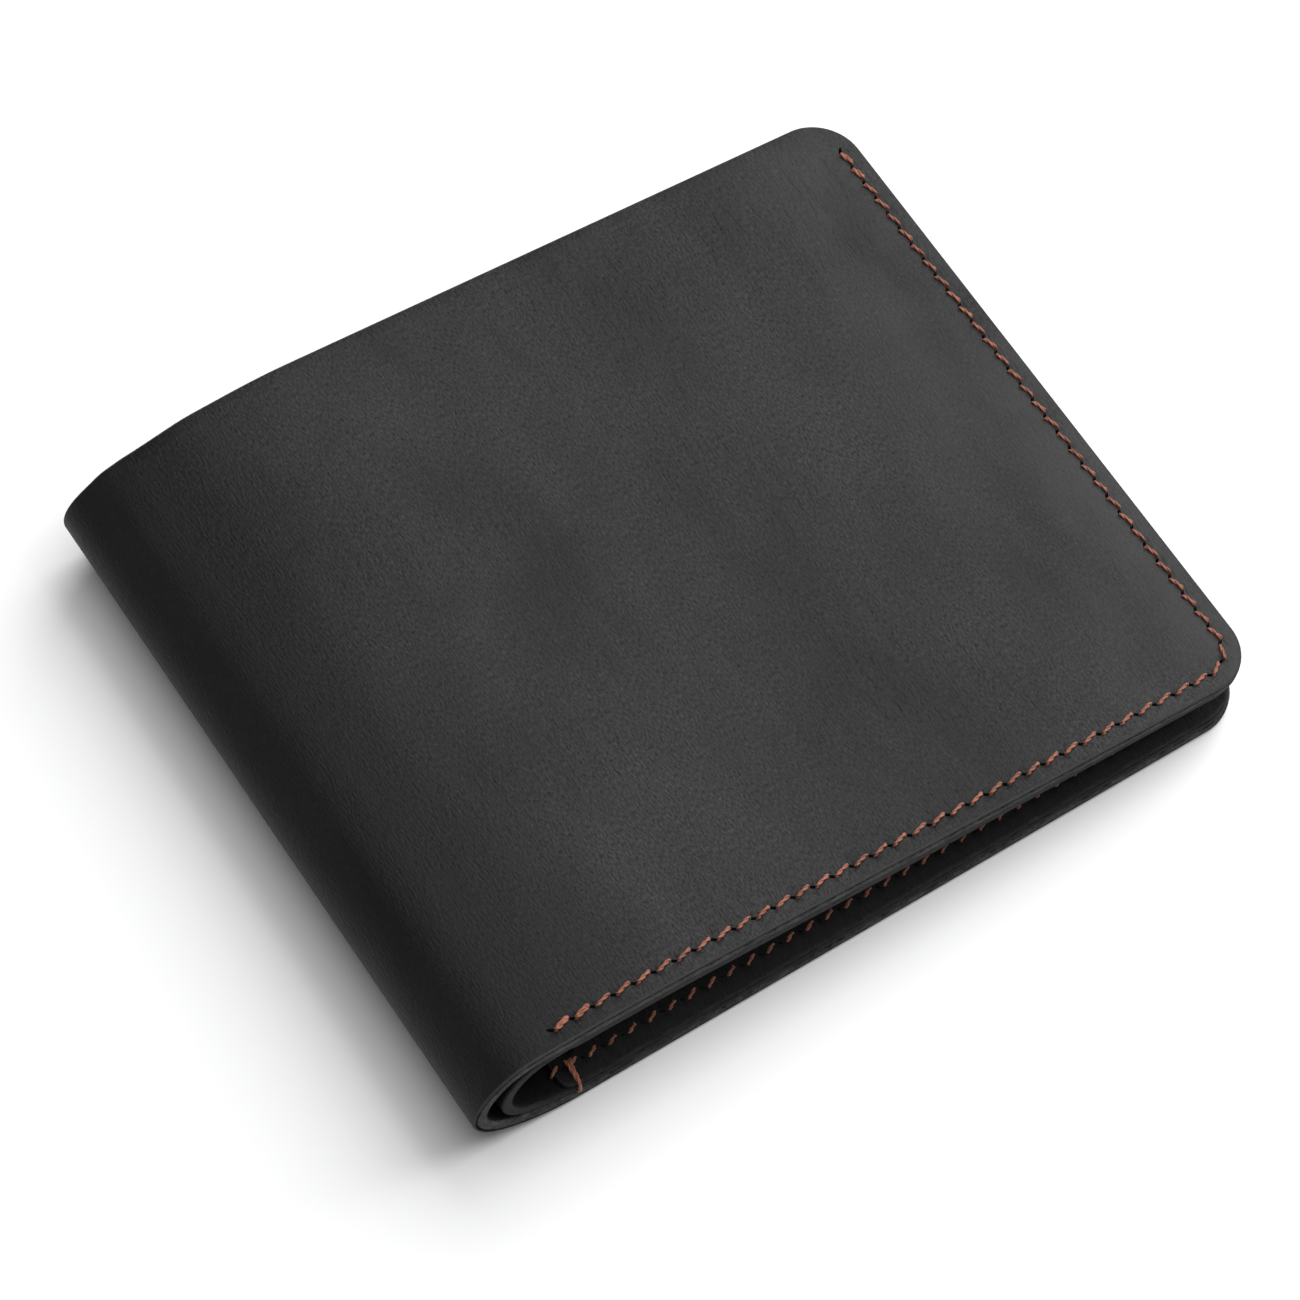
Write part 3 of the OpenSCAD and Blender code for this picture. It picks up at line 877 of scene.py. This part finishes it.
# ---------------------------------------------------------------- pockets and slots
def pocket(side, part, corners, share, thickness, holes, offset):
    """A pocket or card slot on one half. Its corners are given from that half's open edge."""
    back = side == "back"
    ring = rounded(corners)
    if not back:
        ring = flip_ring(ring, panel.s4)
    face = on_half(panel, back, lambda e, y: PANEL_T + lift_of(share, e, y))
    piece = leather(f"{side}_{part}_leather", panel, ring, thickness, face, (),
                    seam_on(panel, back, holes), 1 if back else -1, offset, pocket_leather,
                    panel_edge_shaded, rough=0.03, slit=0.55)
    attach(piece, f"{side}_half")
    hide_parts(f"{side}_{part}")


def tee(top, tabs_low):
    """The outline of a T-shaped slot: full width between its tabs, narrower below."""
    inner, outer = 17, SIDE_SEAM - 9
    low = top - SLOT_DEPTH
    return [(0.4, tabs_low, 0), (inner, tabs_low, 0), (inner, low, 1), (outer, low, 1),
            (outer, tabs_low, 0), (POCKET_LEN, tabs_low, 0), (POCKET_LEN, top, 1.2), (0.4, top, 1.2)]


def pockets(side, place):
    """The three card pieces of one half; place is where on the hide they are cut."""
    both = Holes(np.concatenate([inner_seam.c, side_seam.c]),
                 np.concatenate([inner_seam.t, side_seam.t]))
    end, tabs = POCKET_LEN - 0.8, 0.25
    low_rim = BOTTOM + 2 * SET_BACK
    lower = [(SET_BACK, low_rim, CORNER_R), (POCKET_LEN, low_rim, 1.8),
             (POCKET_LEN, top_pocket, 1.5), (SET_BACK, top_pocket, 1)]
    pocket(side, "lower_pocket", lower, 2 * SLOT_T + 0.05, POCKET_T,
           both.near(0, end, BOTTOM, top_pocket - 0.8), (place, 0, 0))
    pocket(side, "middle_slot", tee(top_middle, top_pocket + tabs), SLOT_T + 0.03, SLOT_T,
           both.near(0, end, top_pocket + 1, top_middle - 0.8), (place + 20, 160, 0))
    pocket(side, "upper_slot", tee(top_upper, top_middle + tabs), 0, SLOT_T,
           both.near(0, end, top_middle + 1, top_upper - 0.8), (place + 40, 320, 0))


pockets("back", 700)
pockets("front", 900)


# ---------------------------------------------------------------- the sewing
def inner_face(e, y):
    """Depth below the panel's outer face of what the seam runs on, seen from inside."""
    in_lower = y < top_pocket
    in_slots = (y >= top_pocket) & (y < top_upper)
    lift = np.where(in_lower, lift_of(2 * SLOT_T, e, y), 0)
    return PANEL_T + lift + np.where(in_lower, POCKET_T, np.where(in_slots, SLOT_T, 0.0))


def sew(side):
    """All the thread of one half."""
    back = side == "back"
    hand = 1 if back else -1
    face = on_half(panel, back, inner_face)
    lines = stitch_lines(seam_on(cover, back, edge_seam), cover, level_face(0.0), hand, 1, 0.2)
    lines += stitch_lines(seam_on(panel, back, inner_seam), panel, face, hand, -1, -0.04)
    if back:
        lines += [wrap(SIDE_SEAM + 0.5, SIDE_SEAM + 1.4), wrap(SIDE_SEAM + 1.2, SIDE_SEAM + 1.0)]
    seam = stitches(f"{side}_edge_stitches", lines)
    lines = stitch_lines(seam_on(panel, back, side_seam), panel, face, hand, -1, 0.1)
    beside = stitches(f"{side}_side_stitches", lines, 0.9)
    for piece, node in ((seam, "edge_thread"), (beside, "side_thread")):
        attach(piece, f"{side}_half")
        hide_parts(f"{side}_{node}")
    for part, top, level in (("upper_slot", top_upper, SLOT_T), ("middle_slot", top_middle, 2 * SLOT_T)):
        low = top - SLOT_DEPTH + 2
        holes = line_holes((20, low), (SIDE_SEAM - 12, low), STITCH_BASE)
        sunk = level_face(PANEL_T + level - 0.2)
        lines = stitch_lines(seam_on(panel, back, holes), panel, sunk, hand, -1, 0.1)
        base = stitches(f"{side}_{part}_stitches", lines, 0.9)
        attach(base, f"{side}_half")
        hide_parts(f"{side}_{part}_thread")


sew("back")
sew("front")


# ---------------------------------------------------------------- stage, light and camera
def stage_floor():
    """A pale, plain floor, 6 m across."""
    mesh = bpy.data.meshes.new("floor")
    h = 3.0
    z = -0.5 * MM       # the wallet lies on its stitches, which stand a little proud
    mesh.from_pydata([(-h, -h, z), (h, -h, z), (h, h, z), (-h, h, z)], [], [(0, 1, 2, 3)])
    floor = bpy.data.objects.new("floor", mesh)
    bpy.context.scene.collection.objects.link(floor)
    m = Nodes("floor_white")
    mesh.materials.append(m.finish((0.9, 0.9, 0.905), 0.9))


def softbox(name, place, size, power):
    """A soft rectangular light that looks at the wallet."""
    light = bpy.data.lights.new(name, "AREA")
    light.shape = "RECTANGLE"
    light.size, light.size_y = size
    light.energy = power
    obj = bpy.data.objects.new(name, light)
    obj.location = place
    obj.rotation_mode = "QUATERNION"
    obj.rotation_quaternion = (-Vector(place)).to_track_quat("-Z", "Y")
    bpy.context.scene.collection.objects.link(obj)


def studio():
    """White studio: one broad soft light beyond the open edge, a weaker one overhead."""
    world = bpy.data.worlds.new("studio")
    bpy.context.scene.world = world
    world.use_nodes = True
    world.node_tree.nodes["Background"].inputs[0].default_value = (0.96, 0.97, 1.0, 1)
    world.node_tree.nodes["Background"].inputs[1].default_value = 0.12
    softbox("key_light", (0.95, 0.22, 1.05), (1.7, 1.5), 29)
    softbox("top_light", (0.0, -0.15, 1.6), (1.3, 1.3), 14)


def camera():
    """The photograph's view: a long lens from high above the fold's near corner."""
    azimuth, elevation, roll = math.radians(-39.29), math.radians(62.04), math.radians(6.84)
    aim, distance, lens = Vector((-2.52, -5.19, 5.39)) * MM, 0.6726, 149.4
    back = Vector((math.sin(azimuth) * math.cos(elevation),
                   -math.cos(azimuth) * math.cos(elevation), math.sin(elevation)))
    right = Vector((math.cos(azimuth), math.sin(azimuth), 0))
    up = back.cross(right)
    side = right * math.cos(roll) + up * math.sin(roll)
    top = up * math.cos(roll) - right * math.sin(roll)
    data = bpy.data.cameras.new("camera")
    data.lens, data.sensor_width = lens, 36
    data.shift_x, data.shift_y = -0.0109, 0.0031
    data.clip_start, data.clip_end = 0.01, 20
    obj = bpy.data.objects.new("camera", data)
    obj.matrix_world = Matrix.Translation(aim + back * distance) @ Matrix(
        (side, top, back)).transposed().to_4x4()
    bpy.context.scene.collection.objects.link(obj)
    bpy.context.scene.camera = obj


stage_floor()
studio()
camera()
bpy.context.scene.view_settings.view_transform = "Standard"
